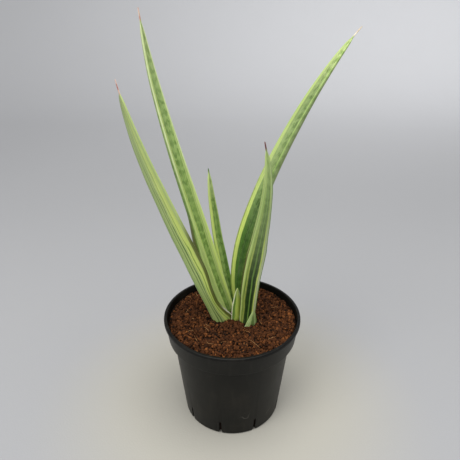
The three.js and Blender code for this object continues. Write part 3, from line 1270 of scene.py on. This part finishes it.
class SoilBed:
    """Loose potting mix: a filled bed with crumbs and fibres lying on it."""

    ROUGHNESS = (0.72, 1.16)
    STRETCH = (0.62, 1.2)
    TONE = (0.5, 0.13)

    def __init__(self, size: SoilSize, pot: PotSize) -> None:
        """Keep the sizes."""
        self.size = size
        self.edge_z = pot.height - size.below_rim
        share = (self.edge_z - pot.collar_foot_z) / (pot.height - pot.collar_foot_z)
        collar = pot.collar_foot_radius + share * pot.collar_draft
        self.radius = collar - pot.wall - size.gap
        self.pot = pot
        self.leaves: BVHTree | None = None
        self.pieces: list[tuple[bpy.types.Object, GrainFinish]] = []

    def height(self, x: np.ndarray, y: np.ndarray) -> np.ndarray:
        """Height of the bed's surface.

        Args:
            x: Places along X in millimetres.
            y: Places along Y in millimetres.

        Returns:
            The heights in millimetres.
        """
        share = np.clip(np.hypot(x, y) / self.radius, 0, 1)
        dome = self.size.rise * (1 - share**2)
        spots = zip(x * self.size.bump_scale, y * self.size.bump_scale)
        bumps = [noise.fractal(Vector((a, b, 3.0)), 0.7, 2.1, 4) for a, b in spots]
        dip = self.size.dip * smooth(1.15, 0.7, self._from_heart(x, y))
        return self.edge_z + dome - dip + self.size.relief * (np.array(bumps) - 0.3)

    def _from_heart(self, x: np.ndarray, y: np.ndarray) -> np.ndarray:
        """Measure from the middle of the leaf bases: 1 is the edge of the hollow between them."""
        (middle_x, middle_y), (reach_x, reach_y) = self.size.heart, self.size.heart_reach
        return np.hypot((x - middle_x) / reach_x, (y - middle_y) / reach_y)

    def mesh(self, leaves: list[Leaf]) -> None:
        """Build the bed, then strew crumbs and fibres on it.

        Args:
            leaves: The leaves that the crumbs stay out of.
        """
        self.leaves = self._tree(leaves)
        self._bed()
        size = self.size
        batches = (
            Batch("mix_crumbs_large", size.coarse // 2, smallest=1.0, largest=2.0,
                  subdivisions=2, lift=0.2, seed=size.seed + 1),
            Batch("mix_crumbs_medium", size.coarse // 2, smallest=0.8, largest=1.4,
                  subdivisions=2, lift=0.6, seed=size.seed + 2),
            Batch("mix_crumbs_fine", size.fine, smallest=0.25, largest=0.6,
                  subdivisions=1, lift=0.5, seed=size.seed + 4),
        )
        crumbs = GrainFinish("potting_mix_crumbs", colour(12, 7, 4), colour(68, 38, 18),
                             colour(126, 76, 38))
        for batch in batches:
            self.pieces.append((self._strew(batch), crumbs))
        fibres = GrainFinish("potting_mix_fibres", colour(50, 28, 14), colour(98, 62, 34),
                             colour(170, 130, 86))
        self.pieces.append((self._fibres(), fibres))

    @staticmethod
    def _tree(leaves: list[Leaf]) -> BVHTree:
        """Index the leaves' skins for distance checks, in millimetres."""
        skins = Gathered()
        for leaf in leaves:
            skins.add(leaf.points, [tuple(face.vertices) for face in leaf.piece.data.polygons])
        return BVHTree.FromPolygons([Vector(row) for row in skins.points], skins.faces)

    def _bed(self) -> None:
        """Build the filled bed under the crumbs."""
        pot, size = self.pot, self.size
        corners = list(reversed(pot.inside(size.gap)))[:-1]
        profile = filleted([*corners, (self.radius, self.edge_z, 0.0)])
        profile += [(self.radius * (1 - step / size.rings), self.edge_z) for step in range(1, size.rings)]
        profile.append((0.0, self.edge_z))
        points, faces = turned(profile, size.segments)
        top = points[:, 2] > self.edge_z - 0.01
        points[top, 2] = self.height(points[top, 0], points[top, 1]) - 0.3
        bed = GrainFinish("potting_mix_bed", colour(10, 6, 3), colour(26, 14, 7), colour(52, 30, 16),
                          scale=420.0, depth=0.0006, toned=False)
        piece = make_piece("potting_mix_bed", points, faces)
        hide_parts("soil")
        self.pieces.append((piece, bed))

    def _places(
        self, rng: np.random.Generator, count: int, margin: float
    ) -> tuple[np.ndarray, np.ndarray]:
        """Pick random places on the bed.

        Args:
            rng: The source of places.
            count: The number of places.
            margin: The distance kept from the wall.

        Returns:
            The places along X and Y.
        """
        radius = (self.radius - margin) * np.sqrt(rng.uniform(0, 1, count))
        azimuth = rng.uniform(0, 2 * math.pi, count)
        return radius * np.cos(azimuth), radius * np.sin(azimuth)

    def _clear(self, spots: np.ndarray, reach: np.ndarray) -> np.ndarray:
        """Say which spots lie outside the leaves by at least their reach."""
        kept = np.ones(len(spots), bool)
        for index, (spot, gap) in enumerate(zip(spots, reach)):
            near, normal, _, distance = self.leaves.find_nearest(Vector(spot), 30.0)
            if near is None:
                continue
            inside = (Vector(spot) - near).dot(normal) < 0
            kept[index] = not inside and distance > gap
        return kept

    def _strew(self, batch: Batch) -> bpy.types.Object:
        """Strew one batch of crumbs as a single piece."""
        rng = np.random.default_rng(batch.seed)
        x, y = self._places(rng, batch.count, batch.largest * 0.9)
        reach = batch.smallest + (batch.largest - batch.smallest) * rng.beta(1.4, 2.4, batch.count)
        lift = reach * rng.uniform(-0.5, 0.5, batch.count) + batch.lift
        spots = np.stack([x, y, self.height(x, y) + lift], axis=1)
        kept = self._clear(spots, reach * 0.75) & (self._from_heart(x, y) > 1.0)
        spots, reach = spots[kept], reach[kept]
        points, faces = lump_shape(batch.subdivisions)
        count = len(spots)
        rough = rng.uniform(*self.ROUGHNESS, (count, len(points)))
        stretch = rng.uniform(*self.STRETCH, (count, 1, 3))
        local = points[None] * rough[..., None] * stretch * reach[:, None, None]
        local = np.einsum("nij,nvj->nvi", random_turns(rng, count), local)
        rows = (local + spots[:, None]).reshape(-1, 3)
        offsets = (np.arange(count) * len(points))[:, None, None]
        tone = np.repeat(np.clip(rng.normal(*self.TONE, count), 0.1, 0.95), len(points))
        return make_piece(batch.name, rows, (faces[None] + offsets).reshape(-1, 3), {"tone": tone})

    def _fibres(self) -> bpy.types.Object:
        """Lay thin curved fibres on the crumbs."""
        rng = np.random.default_rng(self.size.seed + 9)
        size = self.size
        sides, steps = size.fibre_sides, size.fibre_steps
        fibres = Gathered()
        tones: list[np.ndarray] = []
        xs, ys = self._places(rng, size.fibres, 5.0)
        for x, y in zip(xs, ys):
            is_short = rng.uniform() < size.fibre_short_share
            length = rng.uniform(*(size.fibre_short if is_short else size.fibre_long))
            heading = rng.uniform(0, 2 * math.pi) + np.cumsum(rng.normal(0, 0.22, steps + 1))
            path = np.stack([np.cos(heading), np.sin(heading)], axis=1) * length / steps
            flat = np.array([x, y]) + np.cumsum(path, axis=0)
            thick = rng.uniform(*size.fibre_radius)
            lift = 1.3 + thick + 0.5 * np.sin(np.linspace(0, math.pi, steps + 1)) * rng.uniform(-0.6, 1.6)
            line = np.column_stack([flat, self.height(flat[:, 0], flat[:, 1]) + lift])
            if np.hypot(flat[:, 0], flat[:, 1]).max() > self.radius - 1.0:
                continue
            if not self._clear(line, np.full(steps + 1, thick + 0.1)).all():
                continue
            fibres.add(self._fibre(line, thick, sides), tube_faces(sides, steps + 1))
            tones.append(np.full((steps + 1) * sides, rng.uniform(0.3, 0.9)))
        return make_piece("mix_fibres", fibres.points, fibres.faces, {"tone": np.concatenate(tones)})

    @staticmethod
    def _fibre(line: np.ndarray, thick: float, sides: int) -> np.ndarray:
        """Run rings along one thin tapered fibre.

        Args:
            line: The fibre's centre line.
            thick: Its radius.
            sides: The number of points in a ring.

        Returns:
            The rings' points in order.
        """
        ahead = np.gradient(line, axis=0)
        ahead /= np.linalg.norm(ahead, axis=1)[:, None]
        side = np.cross(ahead, [0, 0, 1.0])
        side /= np.linalg.norm(side, axis=1)[:, None]
        above = np.cross(side, ahead)
        turn = (np.arange(sides) * 2 * math.pi / sides)[None, :, None]
        width = thick * (1 - 0.75 * np.abs(np.linspace(-1, 1, len(line))) ** 3)
        ring = side[:, None] * np.cos(turn) + above[:, None] * np.sin(turn)
        return (line[:, None] + ring * width[:, None, None]).reshape(-1, 3)

    def dress(self, effects: Effects) -> None:
        """Give the bed, crumbs and fibres their materials."""
        made: dict[str, bpy.types.Material] = {}
        for piece, finish in self.pieces:
            if finish.name not in made:
                made[finish.name] = finish.make(effects)
            fit_out(piece, made[finish.name])


class RootCrown:
    """The buried crown, which keeps its CAD solid."""

    def __init__(self, node: str) -> None:
        """Keep the name of the CAD node."""
        self.node = node

    def dress(self, effects: Effects) -> None:
        """Give the crown a fibrous bark."""
        bark = GrainFinish("root_crown_bark", colour(30, 22, 12), colour(70, 58, 30),
                           colour(116, 108, 66), scale=240.0, depth=0.0008, toned=False)
        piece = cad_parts[self.node]
        piece.data.materials.clear()
        piece.data.materials.append(bark.make(effects))


# ------------------------------------------------------------------------------ the stage


@dataclass(frozen=True)
class LampSpec:
    """A soft area light. Places and sizes are in metres."""

    name: str
    place: tuple[float, float, float]
    size: float
    power: float
    tint: Colour
    aim: tuple[float, float, float] = (0.0, 0.0, 0.12)


class Studio:
    """A pale sweep, soft lamps and the camera."""

    WORLD_TINT = (0.97, 0.985, 1.0, 1.0)
    WORLD_STRENGTH = 0.62
    CAMERA_PLACE = (-0.0019, -0.340, 0.3505)
    CAMERA_TILT = 26.35
    CAMERA_LENS = 36.8
    LAMPS = (
        LampSpec("key_left_above", (-0.8, -0.9, 1.4), 1.1, 15.0, (1.0, 0.99, 0.96)),
        LampSpec("overhead", (0.15, -0.3, 1.7), 1.5, 21.5, (1.0, 0.995, 0.98)),
    )

    def build(self, effects: Effects) -> None:
        """Make the floor, the lamps, the world light and the camera."""
        self._sweep(effects)
        for lamp in self.LAMPS:
            self._lamp(lamp)
        self._world()
        self._camera()
        bpy.context.scene.view_settings.view_transform = "Standard"

    @staticmethod
    def _sweep(effects: Effects) -> None:
        """Make a floor that curves up into a backdrop, with painted light on its paper."""
        bend, back, front, tall = 0.9, 1.1, -2.2, 2.4
        rows = [(front, 0.0), (-0.8, 0.0), (-0.2, 0.0), (0.4, 0.0)]
        rows += [(back + bend * math.sin(a), bend * (1 - math.cos(a)))
                 for a in np.linspace(0, math.pi / 2, 14)]
        rows.append((back + bend, tall))
        sides = np.linspace(-2.6, 2.6, 9)
        points = np.array([(x, y, z) for y, z in rows for x in sides]) / MM
        wide = len(sides)
        faces = [(r * wide + c, r * wide + c + 1, (r + 1) * wide + c + 1, (r + 1) * wide + c)
                 for r in range(len(rows) - 1) for c in range(wide - 1)]
        floor = make_piece("studio_sweep", points, faces)
        graph, material = start_material("studio_paper")
        place = graph.place()
        x, depth, _ = graph.split(place)
        cloudy = graph.noise(place, 1.6, 2.0)
        # Painted light on the paper: lighter towards the back and, far off, towards the right, as the lamps
        # would light it; near the pot a painted warm bounce, a little lighter and warmer.
        side = graph.ease(graph.math("DIVIDE", x, depth + 0.36), -0.5, 0.5)
        painted_far_light = graph.ease(depth, 0.4, 1.8)
        near = graph.ease(graph.math("SQRT", x * x + depth * depth), 0.2, 0.08)
        tone = painted_far_light * 0.13 + side * (painted_far_light * 0.3 + 0.01) + near * 0.04 + cloudy * 0.02 + 0.335
        grey = graph.point(tone, tone, tone)
        cool = graph.blend(1.0, grey, (0.985, 0.99, 1.02), "MULTIPLY")
        painted_warm_bounce = graph.blend(1.0, grey, (1.02, 0.985, 0.87), "MULTIPLY")
        dust = graph.use(effects.dust, {"Place": place, "Scale": 6.0, "Amount": 0.05})
        body = graph.blend(dust["Mask"], graph.blend(near, cool, painted_warm_bounce), (0.4, 0.38, 0.35))
        shader = {"Base Color": body, "Roughness": graph.spread(cloudy, 0.62, 0.75),
                  "Specular IOR Level": 0.3}
        graph.close_material(shader, graph.noise(place, 600.0, 2.0), 0.0001)
        floor.data.materials.append(material)

    @staticmethod
    def _lamp(spec: LampSpec) -> None:
        """Hang one area light."""
        data = bpy.data.lights.new(spec.name, "AREA")
        data.shape = "DISK"
        data.size = spec.size
        data.energy = spec.power
        data.color = spec.tint
        lamp = bpy.data.objects.new(spec.name, data)
        lamp.location = spec.place
        direction = Vector(spec.aim) - Vector(spec.place)
        lamp.rotation_euler = direction.to_track_quat("-Z", "Y").to_euler()
        bpy.context.scene.collection.objects.link(lamp)

    def _world(self) -> None:
        """Light the scene softly from every side."""
        world = bpy.data.worlds.new("studio_world")
        world.use_nodes = True
        background = world.node_tree.nodes["Background"]
        background.inputs["Color"].default_value = self.WORLD_TINT
        background.inputs["Strength"].default_value = self.WORLD_STRENGTH
        bpy.context.scene.world = world

    def _camera(self) -> None:
        """Place the camera in front, looking a little down."""
        data = bpy.data.cameras.new("front_camera")
        data.lens = self.CAMERA_LENS
        data.sensor_width = 36.0
        camera = bpy.data.objects.new("front_camera", data)
        camera.location = self.CAMERA_PLACE
        camera.rotation_euler = (math.radians(90 - self.CAMERA_TILT), 0.0, 0.0)
        bpy.context.scene.collection.objects.link(camera)
        bpy.context.scene.camera = camera


# --------------------------------------------------------------------------------- sizes

# After the names: root, length, width and thickness; heading, lean and wrap; foot, fullest, taper.
LEAF_SIZES = (
    LeafSize("leaf_centre_young_skin", "leaf_centre_young", (2.0, 16.0), 139.0, 10.2, 4.0,
             (128, 125, 122), (20, 19, 15, 9), (150, 110, 70), 0.83, 0.31, 1.9,
             spine=2.0, ribs=6.0, rib_depth=0.1, seed=3),
    LeafSize("inner_sheath_skin", "inner_sheath", (3.2, -0.6), 45.0, 9.0, 2.2,
             (290, 290, 286), (6, 5, 2), (120, 100, 60), 1.0, 0.35, 1.6,
             ribs=5.0, rib_depth=0.07, sway=0.1, step=0.8, samples=33, seed=4),
    LeafSize("leaf_left_tall_skin", "leaf_left_tall", (2.4, 6.6), 274.0, 18.5, 5.5,
             (152, 147, 141), (26, 20, 18.5, 8.5), (200, 125, 70), 0.72, 0.26, 1.5,
             roll=(-10, 0), spine=8.0, belly=3.6, seed=5),
    LeafSize("leaf_right_tall_skin", "leaf_right_tall", (12.0, 11.0), 280.0, 21.0, 6.0,
             (19, 25, 33), (-23, 17, 32.5, 52), (170, 145, 70), 0.72, 0.3, 1.45,
             spine=10.0, seed=6),
    LeafSize("leaf_right_front_skin", "leaf_right_front", (12.8, -3.0), 177.0, 20.5, 5.5,
             (306, 309, 311), (1, 11, 9, -19), (170, 130, 70), 0.8, 0.5, 0.8,
             spine=5.0, seed=7),
    LeafSize("leaf_left_outer_skin", "leaf_left_outer", (-8.0, 1.0), 229.0, 26.5, 5.5,
             (198, 193, 192), (17.5, 20.5, 19, 11), (170, 135, 70), 0.54, 0.32, 2.1,
             roll=(22, 14), spine=9.0, clasp=4.0, flap=18.0, pinch=3.5, seed=8),
    LeafSize("outer_scale_skin", "outer_scale", (16.7, -6.6), 25.0, 21.0, 1.8,
             (325, 326, 328), (3, 5, 6), (113, 113, 60), 1.0, 0.35, 1.0,
             ribs=7.0, rib_depth=0.06, sway=0.1, step=0.7, samples=33, seed=9),
)


PLAIN_OUTSIDE = (*band(-1.0, -0.74, Tint.LIME), *band(-0.68, -0.34, Tint.MID, 0.7),
                 *band(-0.3, -0.24, Tint.PALE), *band(-0.2, 0.3, Tint.GREEN, 0.8),
                 *band(0.34, 0.4, Tint.PALE), *band(0.44, 0.66, Tint.MID, 0.7), *band(0.72, 1.0, Tint.LIME))

LEAF_LOOKS: dict[str, dict[str, object]] = {
    "leaf_left_tall": {
        "outer": (*band(-1.0, -0.87, Tint.PALE), *band(-0.82, -0.1, Tint.MID, 0.6),
                  *PLAIN_OUTSIDE[6:]),
        "inner": (*band(-1.0, -0.52, Tint.PALE), *band(-0.46, -0.42, Tint.YELLOW),
                  *band(-0.37, 0.0, Tint.GREEN, 1.0), *band(0.04, 0.5, Tint.GREEN, 1.0),
                  *band(0.55, 0.59, Tint.PALE), *band(0.63, 0.66, Tint.GREEN),
                  *band(0.7, 0.86, Tint.PALE), *band(0.92, 1.0, Tint.YELLOW)),
        "edge": Tint.PALE.value, "edge_high": Tint.CREAM.value, "edge_amount": 0.8,
        # Painted shade on the outer flank: its olive colour, span and reach.
        "margin_fade": 0.45, "band_amount": 0.75, "flank_shade_first": -0.86, "flank_shade_last": -0.2,
        "painted_flank_shade": colour(88, 90, 40), "flank_shade_reach": 9.0,
        "tip_amount": 0.5, "tip": colour(162, 184, 126), "tip_from": 0.25, "top_amount": 0.6,
        "spine": colour(226, 196, 178), "spine_flush": colour(190, 110, 96)},
    "leaf_left_outer": {
        "outer": (*band(-1.0, -0.9, Tint.SAGE), *band(-0.87, -0.72, Tint.LEMON),
                  *band(-0.7, -0.685, Tint.MID), *band(-0.67, -0.61, Tint.LEMON),
                  *band(-0.59, -0.53, Tint.SAGE), *band(-0.51, -0.49, Tint.LEAFY),
                  *band(-0.47, -0.4, Tint.SAGE), *band(-0.38, -0.35, Tint.LEAFY),
                  *band(-0.32, -0.25, Tint.SAGE), *band(-0.22, -0.2, Tint.GREEN),
                  *band(-0.17, -0.1, Tint.SAGE), *band(-0.07, -0.05, Tint.GREEN, 0.4),
                  *band(0.0, 0.5, Tint.SILVER, 0.3), *band(0.56, 1.0, Tint.MID, 0.6)),
        "inner": (*band(-1.0, -0.85, Tint.PALE), *band(-0.8, -0.6, Tint.YELLOW),
                  *band(-0.55, 0.5, Tint.MID, 1.0), *band(0.56, 1.0, Tint.LIME)),
        "edge": Tint.OLIVE.value, "edge_amount": 1.0, "paper_reach": 2.4, "tip_amount": 0.62,
        # Painted shade on the outer flank: its olive colour, span and reach.
        "flank_shade_reach": 9.5, "painted_flank_shade": colour(78, 84, 18), "top_amount": 0.0, "tip": colour(160, 176, 128),
        "spine": colour(236, 200, 184), "spine_flush": colour(176, 60, 52)},
    "leaf_right_front": {
        "outer": (*band(-1.0, -0.84, Tint.PALE), *band(-0.76, -0.3, Tint.MID, 0.8),
                  *band(-0.24, -0.06, Tint.CREAM), *band(-0.02, 0.04, Tint.YELLOW, 0.2),
                  *band(0.07, 0.1, Tint.LEAFY, 0.4), *band(0.14, 0.27, Tint.DARK, 0.8),
                  *band(0.31, 0.34, Tint.MID), *band(0.39, 0.56, Tint.DARK, 0.8),
                  *band(0.6, 0.69, Tint.STRAW, 0.3), *band(0.71, 0.73, Tint.LEAFY),
                  *band(0.76, 0.8, Tint.STRAW), *band(0.83, 0.92, Tint.PALE),
                  *band(0.96, 1.0, Tint.OLIVE)),
        "inner": (*band(-1.0, -0.6, Tint.LIME), *band(-0.55, 0.5, Tint.MID, 1.0),
                  *band(0.56, 1.0, Tint.LIME)),
        "edge": Tint.BROWN.value, "edge_amount": 0.8, "tip_amount": 0.62,
        "tip": colour(154, 180, 112), "tip_from": 0.3, "tip_to": 0.75,
        "spine": colour(120, 74, 62), "spine_flush": colour(96, 40, 44)},
    "leaf_right_tall": {
        "outer": (*band(-1.0, -0.7, Tint.LIME), *band(-0.62, 0.2, Tint.MID, 0.8),
                  *band(0.26, 0.3, Tint.PALE), *band(0.36, 0.52, Tint.MID, 0.5),
                  *band(0.57, 0.66, Tint.OLIVE), *band(0.7, 0.82, Tint.MID, 0.8),
                  *band(0.86, 1.0, Tint.DEEP, 0.8)),
        "inner": (*band(-1.0, -0.72, Tint.YELLOW), *band(-0.63, -0.3, Tint.DEEP, 0.35),
                  *band(-0.26, -0.2, Tint.LEAFY, 0.7), *band(-0.15, 1.0, Tint.DEEP, 1.0)),
        "edge": Tint.DARK.value, "edge_high": Tint.GREEN.value, "edge_amount": 0.7,
        "band_amount": 0.95, "tip_amount": 0.7, "margin_fade": 0.1, "top": colour(206, 222, 150),
        "top_amount": 0.8,
        "tip": colour(160, 178, 118), "tip_from": 0.3, "tip_to": 0.55,
        "spine": colour(232, 224, 200), "spine_flush": colour(200, 176, 136)},
    "leaf_centre_young": {
        "outer": (*band(-1.0, 1.0, Tint.LIME),),
        "inner": (*band(-1.0, -0.62, Tint.YELLOW), *band(-0.54, 0.4, Tint.GREEN, 1.0),
                  *band(0.46, 1.0, Tint.MID, 1.0)),
        "edge": Tint.MID.value, "band_amount": 0.8,
        "tip_amount": 0.2, "tip": colour(148, 168, 92), "top_amount": 0.7,
        "spine": Tint.DEEP.value, "spine_flush": Tint.DARK.value},
    "inner_sheath": {
        "outer": (*band(-1.0, -0.6, Tint.PALE), *band(-0.5, 0.4, Tint.LIME), *band(0.5, 0.8, Tint.MID),
                  *band(0.9, 1.0, Tint.CREAM)),
        "inner": (*band(-1.0, 1.0, Tint.LIME),),
        "edge": colour(226, 222, 200), "edge_amount": 1.0, "paper_reach": 4.0, "tip_amount": 0.0,
        "spine": Tint.CREAM.value},
    "outer_scale": {
        "outer": (*band(-1.0, -0.2, Tint.MID), *band(-0.1, 0.1, Tint.SILVER), *band(0.2, 0.5, Tint.LEAFY),
                  *band(0.6, 1.0, Tint.SILVER)),
        "inner": (*band(-1.0, 1.0, Tint.PALE),),
        "edge": Tint.CREAM.value, "edge_amount": 0.7, "paper_reach": 0.6, "tip_amount": 0.3},
}


def leaf_finish(size: LeafSize) -> LeafFinish:
    """Choose a leaf's colours.

    Args:
        size: The leaf's sizes.

    Returns:
        The leaf's finish.
    """
    dry_from = (size.length - size.spine) / 10 if size.spine else 99.0
    return LeafFinish(name=size.node, seed=size.seed * 3.7, length=size.length / 10,
                      spine_start=dry_from, **LEAF_LOOKS[size.node])


def report(piece: bpy.types.Object) -> None:
    """Log a finished piece."""
    LOG.info("%s: %d faces", piece.name, len(piece.data.polygons))


def main() -> None:
    """Build the plant, the pot and the stage."""
    logging.basicConfig(level=logging.INFO, format="%(name)s: %(message)s")
    effects = Effects()
    pot = NurseryPot(PotSize(), PlasticFinish())
    pot.mesh()
    pot.dress(effects)
    report(pot.piece)
    leaves = []
    for size in LEAF_SIZES:
        slot = "sheath" if size.node in ("inner_sheath", "outer_scale") else "leaf"
        leaf = Leaf(size, leaf_finish(size), slot)
        leaf.mesh()
        leaf.dress(effects)
        leaves.append(leaf)
        report(leaf.piece)
    bed = SoilBed(SoilSize(), pot.size)
    bed.mesh(leaves)
    bed.dress(effects)
    for piece, _ in bed.pieces:
        report(piece)
    RootCrown("root_crown").dress(effects)
    Studio().build(effects)


if __name__ == "__main__":
    main()
